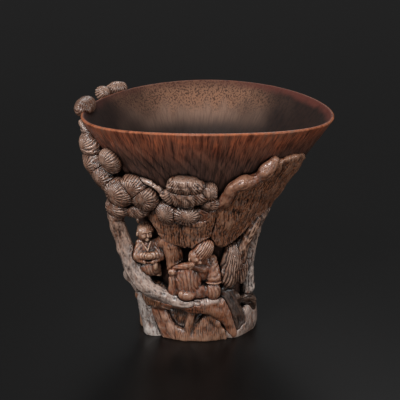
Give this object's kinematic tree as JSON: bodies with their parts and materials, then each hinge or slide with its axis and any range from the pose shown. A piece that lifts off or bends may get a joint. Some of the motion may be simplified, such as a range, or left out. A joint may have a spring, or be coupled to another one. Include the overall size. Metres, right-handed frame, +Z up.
{
  "type": "libation cup",
  "caption": "Flared oval libation cup on a rockwork foot, carved in high relief with figures under pines.",
  "frame": {"origin": "centre of the foot's flat resting face", "axes": "+Z up out of the bowl, +X along the rim's long axis to the viewer's right, -Y towards the viewer"},
  "size_m": [0.1475, 0.12, 0.1319],
  "materials": {
    "horn_wall": "satin",
    "horn_rock": "satin",
    "horn_bark": "satin",
    "horn_needles": "satin",
    "horn_figure": "satin"
  },
  "bodies": {
    "root": {"attendant_figure": "horn_figure", "cup_wall": "horn_wall", "cypress_roots_right": "horn_bark", "cypress_spray_right": "horn_needles", "cypress_trunk_front": "horn_bark", "cypress_trunk_rear": "horn_bark", "foot_core": "horn_rock", "gnarled_branch_right": "horn_bark", "pad_back_1": "horn_needles", "pad_back_2": "horn_needles", "pad_back_3": "horn_needles", "pad_back_4": "horn_needles", "pad_back_5": "horn_needles", "pad_back_6": "horn_needles", "pad_back_7": "horn_needles", "pad_front_1": "horn_needles", "pad_front_2": "horn_needles", "pad_front_3": "horn_needles", "pad_front_4": "horn_needles", "pad_front_5": "horn_needles", "pad_front_6": "horn_needles", "pad_left_1": "horn_needles", "pad_left_2": "horn_needles", "pad_left_3": "horn_needles", "pad_left_4": "horn_needles", "pad_left_5": "horn_needles", "pad_left_6": "horn_needles", "pad_left_7": "horn_needles", "pad_left_8": "horn_needles", "pad_left_9": "horn_needles", "pad_rim_back_1": "horn_needles", "pad_rim_back_2": "horn_needles", "pad_rim_left": "horn_needles", "pine_branch_back": "horn_bark", "pine_branch_front": "horn_bark", "pine_root_inner": "horn_bark", "pine_root_outer": "horn_bark", "pine_trunk_back": "horn_bark", "pine_trunk_left": "horn_bark", "pine_twig_rim": "horn_bark", "rock_arch_front": "horn_rock", "rock_canopy_front": "horn_rock", "rock_cliff_back": "horn_rock", "rock_corner_right": "horn_rock", "rock_dome_front": "horn_rock", "rock_face_right": "horn_rock", "rock_ledge_front": "horn_rock", "rock_peaks_back": "horn_rock", "rock_screen_left": "horn_rock", "rock_step_left": "horn_rock", "rock_toes_back": "horn_rock", "scholar_figure": "horn_figure", "twig_curl_front": "horn_bark"}
  },
  "joints": []
}
